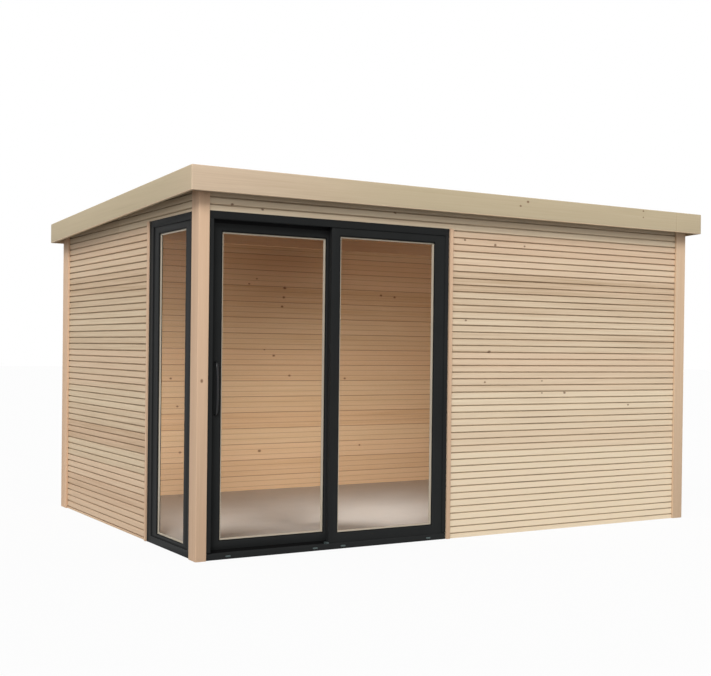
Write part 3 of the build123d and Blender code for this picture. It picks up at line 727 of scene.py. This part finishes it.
def felt_sheet(name, node):
    """Height under the felt's top plane: 2.2 mm on one layer, 0 at a lap's edge, plus a slow swell."""
    steps = np.array((-0.16, -0.12, -0.08, -0.04, -0.012, -0.001, 0.001, 0.012, 0.05))
    near_laps = (lap_places[:, None] + steps).ravel()
    rows = np.unique(np.concatenate([np.linspace(felt_low.y, felt_high.y, 46), near_laps]))
    columns = np.linspace(felt_low.x, felt_high.x, 120)
    y, x = np.meshgrid(rows, columns, indexing="ij")
    wave = 0.003 * np.sin(x * 3.1) + 0.002 * np.sin(x * 7.7 + 1.0)
    depth = np.full_like(y, 0.0022)
    for lap in lap_places:
        back = lap - y
        rise = np.clip(1.0 - back / 0.14, 0.0, 1.0) * (back > 0.0)
        depth -= 0.0021 * rise
        y = y + wave * np.clip(1.0 - np.abs(y - lap) / 0.1, 0.0, 1.0)
    depth = depth + 0.0006 * (0.5 + 0.5 * np.sin(x * 2.3 + y * 1.7) * np.sin(y * 5.1))
    plane = felt_high.z - deck_slope * (y - felt_low.y)
    upper = np.stack([x, y, plane - np.clip(depth, 0.0, 0.0032)], axis=-1)
    lower = np.stack([x, y, plane - felt_thickness], axis=-1)
    count = y.size
    r, c = y.shape
    quads = [grid_quads(r, c), grid_quads(r, c, first=count)[:, ::-1]]
    rim = np.concatenate([np.arange(c), np.arange(1, r) * c + c - 1,
                          (r - 1) * c + np.arange(c - 2, -1, -1), np.arange(r - 2, 0, -1) * c])
    after = np.roll(rim, -1)
    quads.append(np.stack([rim, rim + count, after + count, after], axis=-1))
    point = np.concatenate([upper.reshape(-1, 3), lower.reshape(-1, 3)])
    return add_piece(name, point, np.concatenate(quads), roofing_felt, stands_for=(node,),
                     smooth=25.0)


felt_sheet("felt_lengths", "roof_felt")

# %% [markdown]
# ## Brush seal under the sliding leaf
# A row of black bristles closes the slot between the sliding leaf and the sill and hides the wheels.
# Thousands of hairs would never show, so the row is one thin comb: its lower edge is a grid line whose
# height jumps from tuft to tuft.

# %% Brush seal
def brush(name, body):
    """Lower edge at 23 mm plus up to 3 mm, from a sine whose phase runs fast along the leaf."""
    low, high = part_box("sliding_leaf_frame")
    x = np.linspace(low.x + 0.006, high.x - 0.006, 420)
    tips = 0.023 + np.abs(np.sin(x * 911.0)) * 0.003
    root = np.full_like(x, low.z + 0.004)
    z = np.stack([root, tips, tips, root], axis=-1)
    y = np.broadcast_to(low.y + np.array((0.002, 0.003, 0.0055, 0.0065)), z.shape)
    point = np.stack([np.broadcast_to(x[:, None], z.shape), y, z], axis=-1)
    last = (len(x) - 1) * 4
    ends = [(0, 1, 2, 3), (last + 3, last + 2, last + 1, last)]
    quads = np.concatenate([grid_quads(len(x), 4, wrap_columns=True), ends])
    return add_piece(name, point, quads, rubber, body, smooth=20.0)


brush("leaf_brush", "sliding_leaf")

# %% [markdown]
# ## Seals and spacers round the glass
# A double pane sits in rubber seals, and a pale spacer bar runs round its edge between the two sheets.
# In the picture that bar is the thin light line along the glass. Each is one small profile carried
# round a rectangle, with its corners mitred, so a grid of four rows is enough.

# %% Seals and spacers round the glass
def ring_round(name, low, high, profile, material, plane, body):
    """Carries a closed profile of (out, depth) points round a rectangle from low to high.

    plane gives the three axes: across, up and depth. At each corner a profile point moves out along
    the diagonal, by the same amount on both axes of the rectangle.
    """
    corners = np.array(((low[0], low[1]), (high[0], low[1]), (high[0], high[1]), (low[0], high[1])))
    diagonal = np.array(((-1, -1), (1, -1), (1, 1), (-1, 1)), dtype=float)
    profile = np.array(profile)
    point = np.empty((4, len(profile), 3))
    for axis, number in ((plane[0], 0), (plane[1], 1)):
        point[..., axis] = corners[:, None, number] + diagonal[:, None, number] * profile[None, :, 0]
    point[..., plane[2]] = profile[None, :, 1]
    return add_piece(name, point, grid_quads(4, len(profile), True, True), material, body)


def quarter(centre, radius, side, count=7):
    """Section of a seal: a quarter round from the glass up to the bar."""
    turn = np.linspace(0.0, math.pi / 2.0, count)
    arc = np.stack([centre[0] - radius * np.cos(turn), centre[1] + side * radius * np.sin(turn)], axis=-1)
    behind = centre[0] + 0.001
    return np.concatenate([arc, [(behind, centre[1] + side * radius), (behind, centre[1])]])


def glaze(label, glass, bite, plane, body, seal=0.005):
    """Seals on both faces of a pane and its spacer, from the pane node's own box."""
    low, high = (np.array(v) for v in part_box(glass))
    a, b, depth = plane
    inner_low, inner_high = (low[a] + bite, low[b] + bite), (high[a] - bite, high[b] - bite)
    near, far = low[depth], high[depth]
    middle = (near + far) / 2.0
    for end, place, side in (("_seal_out", near, -1), ("_seal_in", far, 1)):
        ring_round(label + end, inner_low, inner_high, quarter((0.0, place), seal, side), rubber,
                   plane, body)
    half = (far - near) * 0.28
    bar = [(-0.013, middle - half), (0.004, middle - half), (0.004, middle + half), (-0.013, middle + half)]
    ring_round(label + "_spacer", inner_low, inner_high, bar, spacer_metal, plane, body)


glaze("fixed_leaf", "fixed_leaf_glass", 0.012, (0, 2, 1), "shed")
glaze("sliding_leaf", "sliding_leaf_glass", 0.012, (0, 2, 1), "sliding_leaf")
glaze("window", "window_glass", 0.010, (1, 2, 0), "shed", seal=0.004)

# %% [markdown]
# ## Handle
# The door is pulled by a black bow of flat bar, which stands out furthest at its middle and shines on
# its upper half. A curve with a bevel would do, but its section could not thin out. Here the path is a
# superellipse and the section an oval that is widest in the middle of the grip.

# %% Handle
def bow_handle(name, node, body):
    """Path (reach * cos^0.62, half height * sin^0.85); section (w cos^0.6, t sin^0.6) about it."""
    low, high = (np.array(v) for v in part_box(node))
    centre_x = (low[0] + high[0]) / 2.0
    thick, wide = 0.0055, 0.0078
    top_z, low_z = high[2] - thick, low[2] + thick
    out_y = low[1] + thick
    turn = np.linspace(-math.pi / 2.0, math.pi / 2.0, 41)
    lift = np.abs(np.cos(turn)) ** 0.62
    rise = np.sign(np.sin(turn)) * np.abs(np.sin(turn)) ** 0.85
    grip_z = (low_z + top_z) / 2.0 + (top_z - low_z) / 2.0 * rise
    line = np.stack([high[1] - (high[1] - out_y) * lift, grip_z], axis=-1)
    tangent = np.gradient(line, axis=0)
    tangent /= np.linalg.norm(tangent, axis=1, keepdims=True)
    normal = np.stack([-tangent[:, 1], tangent[:, 0]], axis=-1)
    turn = np.linspace(0.0, 2.0 * math.pi, 24, endpoint=False)
    width = wide * np.sign(np.cos(turn)) * np.abs(np.cos(turn)) ** 0.6
    depth = thick * np.sign(np.sin(turn)) * np.abs(np.sin(turn)) ** 0.6
    slim = 0.86 + 0.14 * np.sin(np.linspace(0.0, math.pi, len(line)))
    point = np.empty((len(line), len(turn), 3))
    point[..., 0] = centre_x + width[None, :] * slim[:, None]
    point[..., 1:] = line[:, None, :] + depth[None, :, None] * normal[:, None, :]
    start, end = (np.broadcast_to(ring.mean(axis=0), (1, len(turn), 3)) for ring in (point[0], point[-1]))
    point = np.concatenate([start, point, end])
    quads = grid_quads(len(point), len(turn), wrap_columns=True)
    return add_piece(name, point, quads, handle_coat, body, (node,), 50.0)


bow_handle("bow_handle", "door_handle", "sliding_leaf")

# %% [markdown]
# ## Finishes of the other solids
# The remaining solids have the right shape and stay. Each gets its finish in its own material slot.

# %% Finishes of the other solids
def finish_nodes(material, *names):
    """Gives the material to each named node; those that a piece replaces get it too."""
    for name in names:
        nodes[name].data.materials.clear()
        nodes[name].data.materials.append(material)


finish_nodes(glazing, "fixed_leaf_glass", "sliding_leaf_glass", "window_glass")
finish_nodes(running_gear, "leaf_rollers")
finish_nodes(nylon, "leaf_top_guides")
finish_nodes(pale_cap, "weep_covers", "fixed_leaf_stop")
finish_nodes(grey_floor, "floor_deck")
finish_nodes(deck_wood, "floor_bearers", "roof_deck")
finish_nodes(purlin_wood, "roof_purlins")
finish_nodes(roofing_felt, "roof_felt")
finish_nodes(front_wood, "front_wall", "door_head_wall")
finish_nodes(back_wood, "back_wall")
finish_nodes(side_wood, "left_wall", "window_head_wall", "right_wall")
finish_nodes(post_wood, *post_nodes)
finish_nodes(fascia_wood, "fascia_front", "fascia_back")
finish_nodes(fascia_side_wood, "fascia_left", "fascia_right")
finish_nodes(frame_coat, "door_sill", "sliding_leaf_frame", *frame_nodes)
finish_nodes(handle_coat, "door_handle")
print("nodes without a finish", [n for n, o in nodes.items() if not o.data.materials[0].node_tree])
